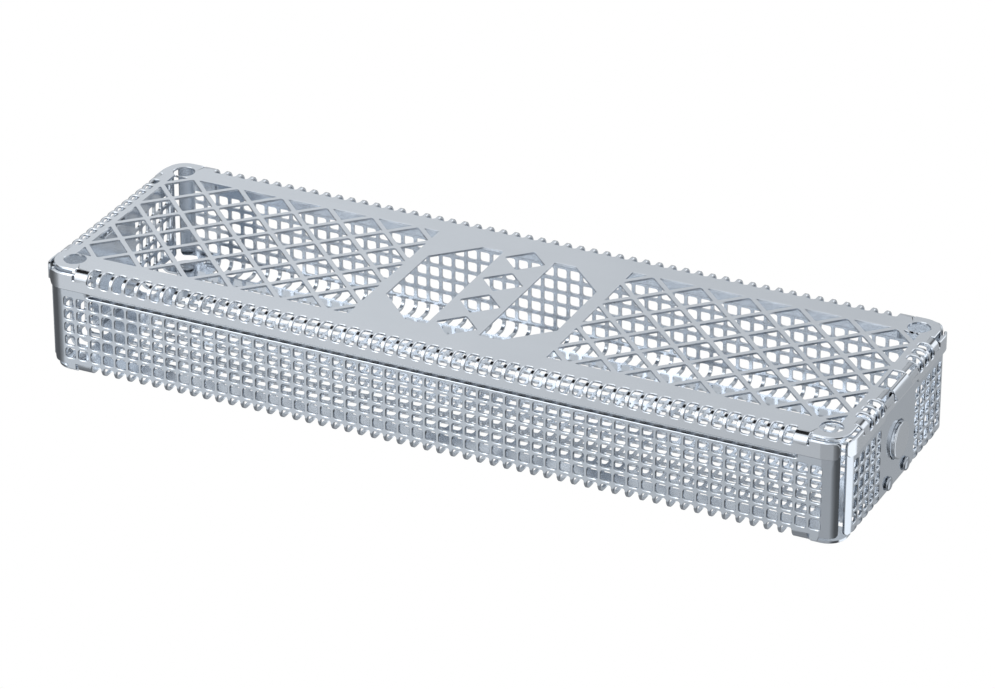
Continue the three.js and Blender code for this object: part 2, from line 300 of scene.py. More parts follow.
class RowsGroup:
    """Node group that sets filleted rectangles on a grid of points."""

    SOCKETS: Sequence[tuple[str, str, float]] = (
        ("Columns", "NodeSocketInt", 3),
        ("Rows", "NodeSocketInt", 3),
        ("Pitch X", "NodeSocketFloat", 5.0),
        ("Pitch Y", "NodeSocketFloat", 5.0),
        ("Width", "NodeSocketFloat", 3.5),
        ("Height", "NodeSocketFloat", 3.5),
        ("Corner Radius", "NodeSocketFloat", 0.5),
        ("Corner Steps", "NodeSocketInt", 1),
    )

    def __init__(self) -> None:
        """Builds the group once."""
        self.tree = bpy.data.node_groups.new("rows_of_openings", "GeometryNodeTree")
        graph = Graph(self.tree)
        face = self.tree.interface
        face.new_socket("Curves", in_out="OUTPUT", socket_type="NodeSocketGeometry")
        for name, kind, value in self.SOCKETS:
            face.new_socket(name, in_out="INPUT", socket_type=kind).default_value = value
        for name in ("Centre", "Turn"):
            face.new_socket(name, in_out="INPUT", socket_type="NodeSocketVector")
        given = graph.node("NodeGroupInput").outputs
        columns, rows = given["Columns"], given["Rows"]
        span_x = (Term(graph, columns) - 1.0) * Term(graph, given["Pitch X"])
        span_y = (Term(graph, rows) - 1.0) * Term(graph, given["Pitch Y"])
        grid = graph.node(
            "GeometryNodeMeshGrid",
            {"Size X": span_x, "Size Y": span_y, "Vertices X": columns, "Vertices Y": rows},
        )
        placed = graph.node(
            "GeometryNodeTransform", {"Geometry": grid.outputs[0], "Translation": given["Centre"]}
        )
        square = graph.node(
            "GeometryNodeCurvePrimitiveQuadrilateral",
            {"Width": given["Width"], "Height": given["Height"]},
        )
        rounded = graph.node(
            "GeometryNodeFilletCurve",
            {
                "Curve": square.outputs[0],
                "Count": given["Corner Steps"],
                "Radius": given["Corner Radius"],
            },
            mode="POLY",
        )
        spread = graph.node(
            "GeometryNodeInstanceOnPoints",
            {
                "Points": placed.outputs[0],
                "Instance": rounded.outputs[0],
                "Rotation": given["Turn"],
            },
        )
        real = graph.node("GeometryNodeRealizeInstances", {0: spread.outputs[0]})
        out = graph.node("NodeGroupOutput")
        self.tree.links.new(real.outputs[0], out.inputs[0])


@dataclass
class Blank:
    """A flat sheet blank: single loops plus rows of openings, in millimetres."""

    name: str
    loops: list[Loop]
    rows: list[Rows]
    openings: list[Opening]
    material: bpy.types.Material
    group: RowsGroup

    def _host(self) -> bpy.types.Object:
        """The single loops as an edge-only mesh object."""
        vertices: list[tuple[float, float, float]] = []
        edges: list[tuple[int, int]] = []
        for loop in self.loops:
            first = len(vertices)
            vertices.extend((x, y, 0.0) for x, y in loop)
            count = len(loop)
            edges.extend((first + i, first + (i + 1) % count) for i in range(count))
        mesh = bpy.data.meshes.new(self.name + "_blank")
        mesh.from_pydata(vertices, edges, [])
        host = bpy.data.objects.new(mesh.name, mesh)
        bpy.context.scene.collection.objects.link(host)
        return host

    def _tree(self) -> tuple[bpy.types.NodeTree, dict[str, object]]:
        """The tree that fills the loops and rows, and the values of its named inputs."""
        tree = bpy.data.node_groups.new(self.name + "_punching", "GeometryNodeTree")
        graph = Graph(tree)
        face = tree.interface
        face.new_socket("Geometry", in_out="OUTPUT", socket_type="NodeSocketGeometry")
        face.new_socket("Geometry", in_out="INPUT", socket_type="NodeSocketGeometry")
        values: dict[str, object] = {"Material": self.material}
        face.new_socket("Material", in_out="INPUT", socket_type="NodeSocketMaterial")
        for item in self.openings:
            label = item.family.value
            for name, value in (
                ("Width", item.width),
                ("Height", item.height),
                ("Corner Radius", item.corner),
            ):
                face.new_socket(f"{label} {name}", in_out="INPUT", socket_type="NodeSocketFloat")
                values[f"{label} {name}"] = value
        given = graph.node("NodeGroupInput").outputs
        steps = {item.family: item.steps for item in self.openings}
        loops = graph.node("GeometryNodeMeshToCurve", {0: given["Geometry"]})
        joined = graph.node("GeometryNodeJoinGeometry")
        tree.links.new(loops.outputs[0], joined.inputs[0])
        for row in self.rows:
            label = row.family.value
            group = graph.node("GeometryNodeGroup", node_tree=self.group.tree)
            for key, value in (
                ("Columns", row.columns),
                ("Rows", row.rows),
                ("Pitch X", row.pitch[0]),
                ("Pitch Y", row.pitch[1]),
                ("Corner Steps", steps[row.family]),
                ("Centre", (*row.centre, 0.0)),
                ("Turn", (0.0, 0.0, math.radians(row.turn))),
            ):
                group.inputs[key].default_value = value
            for key in ("Width", "Height", "Corner Radius"):
                tree.links.new(given[f"{label} {key}"], group.inputs[key])
            tree.links.new(group.outputs[0], joined.inputs[0])
        filled = graph.node("GeometryNodeFillCurve", {0: joined.outputs[0]}, mode="TRIANGLES")
        real = graph.node("GeometryNodeRealizeInstances", {0: filled.outputs[0]})
        dressed = graph.node(
            "GeometryNodeSetMaterial", {0: real.outputs[0], "Material": given["Material"]}
        )
        out = graph.node("NodeGroupOutput")
        tree.links.new(dressed.outputs[0], out.inputs[0])
        return tree, values

    def punched(self) -> bpy.types.Mesh:
        """Runs the tree.

        Returns:
            The flat mesh of the punched blank, in millimetres.
        """
        host = self._host()
        tree, values = self._tree()
        modifier = host.modifiers.new("punching", "NODES")
        modifier.node_group = tree
        for item in tree.interface.items_tree:
            if item.in_out == "INPUT" and item.name in values:
                modifier[item.identifier] = values[item.name]
        graph = bpy.context.evaluated_depsgraph_get()
        mesh = bpy.data.meshes.new_from_object(host.evaluated_get(graph), depsgraph=graph)
        bpy.data.objects.remove(host)
        return mesh


# ---- folding ----


@dataclass(frozen=True)
class Rim:
    """Width of the broken edge round a sheet's rims, finer inside a field round the middle."""

    edge: float
    fine: float = 0.0
    field: Point = (0.0, 0.0)

    def width(self, points: np.ndarray) -> np.ndarray:
        """The width at each point of the blank."""
        inside = (np.abs(points[:, 0]) < self.field[0]) & (np.abs(points[:, 1]) < self.field[1])
        return np.where(inside, self.fine, self.edge)


@dataclass
class Fold:
    """Folds a blank with two long and two end walls and rounded corner strips.

    Lengths are millimetres. A wall's distance past the start of its bend is measured along the
    middle of the sheet. Strips past a bend's end stand upright for their full height.
    """

    half_x: float
    half_y: float
    corner_x: float
    corner_y: float
    sheet: float
    bend_r: float
    plate_z: float
    side: Side
    long_end: float
    end_end: float
    strip_gap: float
    notch: float = 0.5
    step: float = 0.0
    step_low: float = 0.0
    step_high: float = 0.0
    step_end: float = 0.0
    step_fade: float = 2.0
    step_steps: int = 6
    bend_steps: int = 8
    corner_steps: int = 6
    corner_reach: float = 8.0

    def __post_init__(self) -> None:
        """Works out the bend's middle radius, its length and where it starts."""
        self.mid_r = self.bend_r - self.sheet / 2
        self.run = math.pi / 2 * self.mid_r
        self.start_x = self.half_x - self.bend_r
        self.start_y = self.half_y - self.bend_r
        self.centre_z = self.plate_z + self.side.value * self.mid_r
        self.corner_r = self.half_x - self.sheet / 2 - self.corner_x

    def reach_x(self, z: float) -> float:
        """Blank x of the end wall's height z."""
        return self.start_x + self.run + (z - self.centre_z) * self.side.value

    def reach_y(self, z: float) -> float:
        """Blank y of the long wall's height z."""
        return self.start_y + self.run + (z - self.centre_z) * self.side.value

    def corner_edge(self, first_u: float, radius: float, steps: int, last_v: float) -> Loop:
        """The blank's edge round a corner of the flat part, notched where the bends end.

        Args:
            first_u: x where it leaves the end strip.
            radius: of the flat part's corner.
            steps: of that corner's arc.
            last_v: y where it meets the long strip.

        Returns:
            The edge in the first quadrant.
        """
        end, long = self.end_end + self.notch, self.long_end + self.notch
        bend_u, bend_v = self.start_x + self.run, self.start_y + self.run
        edge = [(first_u, end), (bend_u, end), (bend_u, self.end_end)]
        edge += [(self.start_x, self.end_end), (self.start_x, end), (self.corner_x + radius, end)]
        edge += arc((self.corner_x, self.corner_y), radius, 0, 90, steps)
        edge += [(long, self.corner_y + radius), (long, self.start_y)]
        edge += [(self.long_end, self.start_y), (self.long_end, bend_v), (long, bend_v)]
        return edge + [(long, last_v)]

    def _wall(
        self, past: np.ndarray, out: np.ndarray, upright: np.ndarray, start: float
    ) -> tuple[np.ndarray, np.ndarray]:
        """Distance from the middle and height of wall points.

        Args:
            past: distance past the start of the bend.
            out: offset to the outer side of the sheet.
            upright: which points belong to a strip with no bend.
            start: where the bend starts.

        Returns:
            The distances and the heights.
        """
        angle = np.clip(past / self.mid_r, 0, math.pi / 2)
        angle = np.where(upright, math.pi / 2, angle)
        rise = np.where(upright, past - self.run, np.maximum(past - self.run, 0))
        reach = start + (self.mid_r + out) * np.sin(angle)
        turn = self.side.value
        height = self.centre_z - turn * (self.mid_r + out) * np.cos(angle) + turn * rise
        return reach, height

    def _stepped(self, along: np.ndarray, height: np.ndarray) -> np.ndarray:
        """How far the long wall's upper band sits inwards."""
        if not self.step:
            return np.zeros_like(along)
        rise = np.clip((height - self.step_low) / (self.step_high - self.step_low), 0, 1)
        fade = np.clip((self.step_end - np.abs(along)) / self.step_fade + 0.5, 0, 1)
        return self.step * rise * rise * (3 - 2 * rise) * fade * fade * (3 - 2 * fade)

    def __call__(self, points: np.ndarray) -> np.ndarray:
        """Folds points.

        Args:
            points: blank x, blank y and offset to the outer side, one row each.

        Returns:
            The folded points, in millimetres.
        """
        u, v, out = points.T
        turn_x, turn_y = np.sign(u), np.sign(v)
        u, v = np.abs(u), np.abs(v)
        long_end, end_end = self.long_end + WELD, self.end_end + WELD
        long_strip = (u > long_end) & (v > self.start_y + self.strip_gap)
        end_strip = (v > end_end) & (u > self.start_x + self.strip_gap)
        long_wall = long_strip | ((v > self.start_y) & (u <= long_end))
        end_wall = end_strip | ((u > self.start_x) & (v <= end_end))
        x, y = u, v
        z = self.plate_z - self.side.value * out

        reach, height = self._wall(v - self.start_y, out, long_strip, self.start_y)
        reach = reach - self._stepped(u, height)
        angle = np.clip((u - self.corner_x) / self.corner_r, 0, None)
        radius = reach - self.corner_y
        x = np.where(long_wall, np.minimum(u, self.corner_x) + radius * np.sin(angle), x)
        y = np.where(long_wall, self.corner_y + radius * np.cos(angle), y)
        z = np.where(long_wall, height, z)

        reach, height = self._wall(u - self.start_x, out, end_strip, self.start_x)
        angle = np.clip((v - self.corner_y) / self.corner_r, 0, None)
        radius = reach - self.corner_x
        y = np.where(end_wall, np.minimum(v, self.corner_y) + radius * np.sin(angle), y)
        x = np.where(end_wall, self.corner_x + radius * np.cos(angle), x)
        z = np.where(end_wall, height, z)
        return np.stack([x * turn_x, y * turn_y, z], axis=1)

    def creases(self) -> list[Crease]:
        """Lines to cut into the blank so that it can bend.

        Returns:
            For each line its axis, its distance from the middle and a test of which faces it cuts.
        """
        lines: list[Crease] = []
        past_end = 0.6
        for axis, start, end in (
            (1, self.start_y, self.long_end + past_end),
            (0, self.start_x, self.end_end + past_end),
        ):
            stops = [start - CREASE_GUARD, start + self.run + CREASE_GUARD]
            stops += [start + self.run * i / self.bend_steps for i in range(self.bend_steps + 1)]
            for stop in stops:
                lines.append((axis, stop, lambda c, o=1 - axis, e=end: abs(c[o]) < e))
        for axis, corner, wall in (
            (0, self.corner_x, self.start_y + self.strip_gap),
            (1, self.corner_y, self.start_x + self.strip_gap),
        ):
            stops = [corner - CREASE_GUARD]
            stops += [
                corner + self.corner_reach * i / self.corner_steps
                for i in range(self.corner_steps + 1)
            ]
            for stop in stops:
                lines.append((axis, stop, lambda c, o=1 - axis, w=wall: abs(c[o]) > w))
        if self.step:
            low = self.reach_y(self.step_low)
            high = self.reach_y(self.step_high)
            shares = [i / self.step_steps for i in range(-1, self.step_steps + 2)]
            for share in shares:
                lines.append((1, low + (high - low) * share, lambda c: True))
            for share in shares:
                stop = self.step_end + self.step_fade * (share - 0.5)
                lines.append((0, stop, lambda c, w=low - 1.0: abs(c[1]) > w))
        return lines


def folded_sheet(name: str, blank: Blank, fold: Fold, rim: Rim) -> bpy.types.Object:
    """Punches a blank, gives it its thickness and folds it.

    Args:
        name: the finished piece's name.
        blank: the flat blank.
        fold: how it folds.
        rim: the broken edge round every rim.

    Returns:
        The finished object, in metres.
    """
    flat = blank.punched()
    grid = bmesh.new()
    grid.from_mesh(flat)
    bmesh.ops.remove_doubles(grid, verts=grid.verts, dist=WELD)
    for axis, distance, wanted in fold.creases():
        normal = (1.0, 0.0, 0.0) if axis == 0 else (0.0, 1.0, 0.0)
        for sign in (1.0, -1.0):
            faces = [f for f in grid.faces if wanted(f.calc_center_median())]
            edges = {e for f in faces for e in f.edges}
            corners = {v for f in faces for v in f.verts}
            bmesh.ops.bisect_plane(
                grid,
                geom=[*corners, *edges, *faces],
                dist=WELD,
                plane_co=Vector(normal) * distance * sign,
                plane_no=normal,
            )
    bmesh.ops.triangulate(grid, faces=[f for f in grid.faces if len(f.verts) > 4])
    made = thickened(grid, fold, rim)
    grid.free()
    mesh = bpy.data.meshes.new(name)
    made.to_mesh(mesh)
    made.free()
    mesh.materials.append(blank.material)
    return finished(name, mesh)


def thickened(grid: bmesh.types.BMesh, fold: Fold, rim: Rim) -> bmesh.types.BMesh:
    """Two folded skins of a flat mesh with a chamfered rim between them.

    Args:
        grid: the creased flat mesh, in millimetres.
        fold: how it folds.
        rim: the broken edge round every rim.

    Returns:
        The closed, folded solid, in metres.
    """
    grid.verts.index_update()
    flat = np.array([v.co for v in grid.verts], float)[:, :2]
    inward = np.zeros_like(flat)
    for vertex in grid.verts:
        rims = [e for e in vertex.link_edges if e.is_boundary]
        if not rims:
            continue
        normals = []
        for edge in rims:
            along = edge.other_vert(vertex).co - vertex.co
            normal = Vector((-along.y, along.x, 0.0)).normalized()
            middle = edge.link_faces[0].calc_center_median() - vertex.co
            normals.append(normal if normal.dot(middle) > 0 else -normal)
        total = sum(normals, Vector())
        scale = total.dot(normals[0])
        if scale > 0.2:
            inward[vertex.index] = (total / scale).xy
    half = fold.sheet / 2
    width = rim.width(flat)
    full = np.full(len(flat), half)
    layers = [(flat + inward * width[:, None], full), (flat, full - width), (flat, -full)]
    made = bmesh.new()
    rings = []
    on_rim = np.array([any(e.is_boundary for e in v.link_edges) for v in grid.verts])
    for level, (places, offset) in enumerate(layers):
        points = fold(np.column_stack([places, offset])) * MM
        whole = level != 1
        rings.append(
            [made.verts.new(p) if whole or edge else None for p, edge in zip(points, on_rim)]
        )
    for face in grid.faces:
        order = [v.index for v in face.verts]
        made.faces.new([rings[0][i] for i in order])
        made.faces.new([rings[2][i] for i in reversed(order)])
    for edge in grid.edges:
        if edge.is_boundary:
            a, b = (v.index for v in edge.verts)
            for upper, lower in zip(rings, rings[1:]):
                made.faces.new([upper[a], upper[b], lower[b], lower[a]])
    bmesh.ops.recalc_face_normals(made, faces=made.faces)
    return made


def finished(name: str, mesh: bpy.types.Mesh) -> bpy.types.Object:
    """A linked object with smooth faces and crisp edges."""
    mesh.name = name
    mesh.shade_smooth()
    mesh.set_sharp_from_angle(angle=math.radians(SHARP_ANGLE))
    made = bpy.data.objects.new(name, mesh)
    bpy.context.scene.collection.objects.link(made)
    LOG.info("%s: %d faces", name, len(mesh.polygons))
    return made


# ---- outlines ----


def arc(centre: Point, radius: float, start: float, end: float, steps: int) -> Loop:
    """Points of an arc, in degrees from start to end."""
    angles = [math.radians(start + (end - start) * i / steps) for i in range(steps + 1)]
    return [(centre[0] + radius * math.cos(a), centre[1] + radius * math.sin(a)) for a in angles]


def circle(centre: Point, radius: float, steps: int = 24) -> Loop:
    """A round hole's loop."""
    return arc(centre, radius, 0, 360 - 360 / steps, steps - 1)


def mirrored(quarter: Loop) -> Loop:
    """A closed loop from its first-quadrant part, which runs from the x axis to the y axis."""
    upper = quarter + [(-x, y) for x, y in reversed(quarter)]
    return tidy(upper + [(-x, -y) for x, y in quarter] + [(x, -y) for x, y in reversed(quarter)])


def tidy(loop: Loop) -> Loop:
    """The loop without points that repeat the one before."""
    return [p for i, p in enumerate(loop) if math.dist(p, loop[i - 1]) > SAME_POINT]


def rounded(loop: Loop, radius: float, steps: int = 3) -> Loop:
    """The loop with each corner rounded."""
    made: Loop = []
    count = len(loop)
    for i in range(count):
        before, here, after = (Vector(loop[(i + k) % count]) for k in (-1, 0, 1))
        into, away = (before - here), (after - here)
        turn = into.angle(away, math.pi)
        cut = min(radius / math.tan(turn / 2), into.length * 0.45, away.length * 0.45)
        a, b = here + into.normalized() * cut, here + away.normalized() * cut
        for k in range(steps + 1):
            t = k / steps
            made.append(tuple(a * (1 - t) ** 2 + here * 2 * t * (1 - t) + b * t * t))
    return made


# ---- turned and plain solids ----


def turned(profile: Sequence[Point], segments: int = 48) -> bmesh.types.BMesh:
    """A solid of revolution about Z from radius and height pairs that close on the axis."""
    made = bmesh.new()
    angles = [2 * math.pi * i / segments for i in range(segments)]
    spokes = [(math.cos(angle), math.sin(angle)) for angle in angles]
    rings = []
    for radius, height in profile:
        r, z = radius * MM, height * MM
        around = spokes if radius else spokes[:1]
        rings.append([made.verts.new((r * c, r * s, z)) for c, s in around])
    for lower, upper in zip(rings, rings[1:]):
        for i in range(segments):
            j = (i + 1) % segments
            corners = [lower[i % len(lower)], lower[j % len(lower)]]
            corners += [upper[j % len(upper)], upper[i % len(upper)]]
            unique = list(dict.fromkeys(corners))
            if len(unique) > 2:
                made.faces.new(unique)
    bmesh.ops.recalc_face_normals(made, faces=made.faces)
    return made


def swept_strip(line: Sequence[Point], thickness: float, half_width: float) -> bmesh.types.BMesh:
    """A bent strip of constant thickness along x and z points, spread across y."""
    made = bmesh.new()
    points = [Vector(p) for p in line]
    rails = []
    for i, point in enumerate(points):
        along = (points[min(i + 1, len(points) - 1)] - points[max(i - 1, 0)]).normalized()
        side = Vector((-along.y, along.x)) * thickness / 2
        rails.append((point + side, point - side))
    w = half_width
    rows = [
        [
            made.verts.new((p.x * MM, y * MM, p.y * MM))
            for p, y in ((outer, -w), (outer, w), (inner, w), (inner, -w))
        ]
        for outer, inner in rails
    ]
    for lower, upper in zip(rows, rows[1:]):
        for i in range(4):
            j = (i + 1) % 4
            made.faces.new([lower[i], lower[j], upper[j], upper[i]])
    made.faces.new(rows[0])
    made.faces.new(rows[-1])
    bmesh.ops.recalc_face_normals(made, faces=made.faces)
    return made


def smooth_line(points: Sequence[Point], steps: int = 6) -> list[Point]:
    """A Catmull-Rom line through the points."""
    ends = [points[0], *points, points[-1]]
    made: list[Point] = []
    for i in range(1, len(ends) - 2):
        a, b, c, d = (Vector(p) for p in ends[i - 1 : i + 3])
        for k in range(steps):
            t = k / steps
            bend = (2 * a - 5 * b + 4 * c - d) * t * t + (3 * b - a - 3 * c + d) * t**3
            made.append(tuple(0.5 * (2 * b + (c - a) * t + bend)))
    made.append(points[-1])
    return made


def brick(low: tuple[float, float, float], high: tuple[float, float, float]) -> bmesh.types.BMesh:
    """A box between two corners given in millimetres."""
    made = bmesh.new()
    bmesh.ops.create_cube(made, size=1.0)
    for vertex in made.verts:
        for axis in range(3):
            share = vertex.co[axis] + 0.5
            vertex.co[axis] = (low[axis] + (high[axis] - low[axis]) * share) * MM
    bmesh.ops.recalc_face_normals(made, faces=made.faces)
    return made


def place(solid: bmesh.types.BMesh, turn: Callable[[Vector], Vector]) -> bmesh.types.BMesh:
    """Moves every vertex of a solid by a function and turns its faces outwards again."""
    for vertex in solid.verts:
        vertex.co = turn(vertex.co.copy())
    bmesh.ops.recalc_face_normals(solid, faces=solid.faces)
    return solid


def piece(
    name: str, solids: Sequence[bmesh.types.BMesh], material: bpy.types.Material
) -> bpy.types.Object:
    """One object from one or more solids."""
    whole = bmesh.new()
    for solid in solids:
        part = bpy.data.meshes.new("part")
        solid.to_mesh(part)
        solid.free()
        whole.from_mesh(part)
        bpy.data.meshes.remove(part)
    mesh = bpy.data.meshes.new(name)
    whole.to_mesh(mesh)
    whole.free()
    mesh.materials.append(material)
    return finished(name, mesh)


# ---- sub-assemblies ----


def seat(made: bpy.types.Object, body: str, node: str = "") -> None:
    """Sets a piece on its body.

    Args:
        made: the piece.
        body: the body it moves with.
        node: the CAD node it stands for, if it stands for one.
    """
    if node:
        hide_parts(node)
    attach(made, body)


@dataclass
class Basket:
    """The perforated basket, its feet and the latch rivets."""

    group: RowsGroup
    hole: float = 3.85
    hole_corner: float = 0.75
    bend_slot: Point = (39.8, 6.1)
    columns: int = 57
    bend_columns: int = 53
    wall_rows: int = 5
    wall_low: float = 9.24
    end_columns: int = 5
    end_centre: float = 27.5
    end_bend_columns: int = 4
    end_bend_centre: float = 25.0
    strip_bottom: float = 4.7
    apron_bottom: float = 3.2
    corner_top: float = 40.4
    band_top: float = 35.8
    end_top: float = 39.3
    foot: Point = (141.6, 39.1)
    foot_r: float = 3.5
    stud_hole: float = 1.8
    button_hole: float = 7.0
    button_z: float = 20.1
    rivet: Point = (7.8, 7.2)
    keeper_z: Point = (34.0, 38.2)
    keeper_half: float = 8.4
    rim: Rim = Rim(0.2)
    fold: Fold = field(
        default_factory=lambda: Fold(
            half_x=150.0,
            half_y=47.5,
            corner_x=141.6,
            corner_y=39.1,
            sheet=1.0,
            bend_r=3.3,
            plate_z=2.5,
            side=Side.UP,
            long_end=137.6,
            end_end=36.1,
            strip_gap=2.1,
            step=1.2,
            step_low=32.0,
            step_high=32.8,
            step_end=132.5,
        )
    )

    def _outline(self) -> Loop:
        """The blank's outer edge."""
        fold = self.fold
        tab, tab_steps = 6.9, 8
        strip_u = fold.reach_x(self.strip_bottom)
        strip_v = fold.reach_y(self.strip_bottom)
        long_tip = fold.corner_x + math.radians(45) * fold.corner_r
        end_tip = fold.corner_y + math.radians(30) * fold.corner_r
        top_u, top_v = fold.reach_x(self.end_top), fold.reach_y(self.corner_top)
        round_r = 1.6
        quarter = [(top_u, 0.0), (top_u, end_tip - round_r)]
        quarter += arc((top_u - round_r, end_tip - round_r), round_r, 0, 90, 4)
        quarter += arc((strip_u + round_r, end_tip - round_r), round_r, 90, 180, 4)
        apron_v = fold.reach_y(self.apron_bottom)
        quarter += fold.corner_edge(strip_u, tab, tab_steps, apron_v)
        quarter += [(fold.corner_x - 0.6, apron_v), (fold.corner_x, strip_v)]
        quarter += arc((long_tip - round_r, strip_v + round_r), round_r, 270, 360, 4)
        quarter += arc((long_tip - round_r, top_v - round_r), round_r, 0, 90, 4)
        band_v = fold.reach_y(self.band_top)
        band_u = fold.step_end + 1.2
        quarter += [(band_u, top_v), (band_u, band_v), (0.0, band_v)]
        return mirrored(quarter)

    def _bend_slots(self) -> tuple[Point, Point]:
        """Where the slots round the bends start and end, on the long and on the end side."""
        fold = self.fold
        start, top = self.bend_slot
        inset = fold.half_y - start
        return (start, fold.reach_y(top)), (fold.half_x - inset, fold.reach_x(top))

    def _rows(self) -> list[Rows]:
        """Every grid of perforations."""
        hole = Family.PERFORATION
        fold = self.fold
        pitch = (PITCH, PITCH)
        low = fold.reach_y(self.wall_low)
        middle = low + (self.wall_rows - 1) * PITCH / 2
        rows = [Rows(hole, self.bend_columns, 14, pitch, (0.0, 0.0))]
        slot_v, slot_u = self._bend_slots()
        for sign in (1, -1):
            across_v = sign * (slot_v[0] + slot_v[1]) / 2
            rows.append(Rows(Family.BEND_LONG, self.bend_columns, 1, pitch, (0.0, across_v)))
            rows.append(Rows(hole, self.columns, self.wall_rows, pitch, (0.0, sign * middle)))
            low_x = fold.reach_x(self.wall_low)
            far = low_x + (self.wall_rows - 1) * PITCH / 2
            for across in (1, -1):
                centre = (sign * far, across * self.end_centre)
                rows.append(Rows(hole, self.wall_rows, self.end_columns, pitch, centre))
                centre = (sign * (slot_u[0] + slot_u[1]) / 2, across * self.end_bend_centre)
                rows.append(Rows(Family.BEND_END, 1, self.end_bend_columns, pitch, centre))
        return rows

    def build(self, material: bpy.types.Material) -> bpy.types.Object:
        """Builds the folded, perforated sheet.

        Args:
            material: its finish.

        Returns:
            The basket's sheet.
        """
        fold = self.fold
        loops = [self._outline()]
        for sx in (1, -1):
            for sy in (1, -1):
                loops.append(circle((sx * self.foot[0], sy * self.foot[1]), self.stud_hole))
        loops.append(circle((fold.reach_x(self.button_z), 0.0), self.button_hole, 48))
        for sign in (1, -1):
            centre = (fold.reach_x(self.rivet[1]), sign * self.rivet[0])
            loops.append(circle(centre, self.stud_hole))
        low, high = (-fold.reach_x(z) for z in self.keeper_z)
        half = self.keeper_half
        loops.append(rounded([(low, -half), (low, half), (high, half), (high, -half)], 0.8))
        slot_v, slot_u = self._bend_slots()
        openings = [
            Opening(Family.PERFORATION, self.hole, self.hole, self.hole_corner, 2),
            Opening(Family.BEND_LONG, self.hole, slot_v[1] - slot_v[0], self.hole_corner, 2),
            Opening(Family.BEND_END, slot_u[1] - slot_u[0], self.hole, self.hole_corner, 2),
        ]
        blank = Blank("basket", loops, self._rows(), openings, material, self.group)
        return folded_sheet("basket_sheet", blank, fold, self.rim)

    def build_foot(
        self, name: str, sx: int, sy: int, material: bpy.types.Material
    ) -> bpy.types.Object:
        """One foot stud: disc, shank and inner head."""
        r = self.foot_r
        profile = [(0, 0), (r - 0.7, 0), (r - 0.3, 0.08), (r - 0.08, 0.3), (r, 0.6), (r, 1.5)]
        profile += [(r - 0.15, 1.7), (1.5, 1.7), (1.5, 3.3), (2.3, 3.3), (2.4, 3.4), (2.4, 3.75)]
        profile += [(2.2, 3.98), (1.8, 4.08), (0, 4.1)]
        solid = turned(profile)
        shift = Vector((sx * self.foot[0], sy * self.foot[1], 0.0)) * MM
        return piece(name, [place(solid, lambda p: p + shift)], material)

    def build_rivet(self, name: str, sign: int, material: bpy.types.Material) -> bpy.types.Object:
        """One latch rivet, its domed head outwards."""
        profile = [(0, 146.8), (1.9, 146.8), (2.3, 147.0), (2.4, 147.2), (2.4, 147.6), (1.5, 147.6)]
        profile += [(1.5, 150.3), (2.4, 150.3), (2.5, 150.4), (2.48, 150.65), (2.3, 150.95)]
        profile += [(1.9, 151.2), (1.3, 151.34), (0.6, 151.39), (0, 151.4)]
        shift = Vector((0.0, sign * self.rivet[0], self.rivet[1])) * MM
        solid = place(turned(profile, 32), lambda p: Vector((p.z, p.y, -p.x)) + shift)
        return piece(name, [solid], material)

    def dress(self, sheet: bpy.types.Material, stud: bpy.types.Material) -> None:
        """Builds every piece of the basket's body and sets it on the body."""
        seat(self.build(sheet), "basket", "basket")
        for node, sx, sy in (
            ("foot_front_left", -1, -1),
            ("foot_front_right", 1, -1),
            ("foot_back_left", -1, 1),
            ("foot_back_right", 1, 1),
        ):
            foot = self.build_foot(node + "_stud", sx, sy, stud)
            seat(foot, "basket", node)
        for node, sign in (("latch_rivet_front", -1), ("latch_rivet_back", 1)):
            rivet = self.build_rivet(node + "_head", sign, stud)
            seat(rivet, "basket", node)


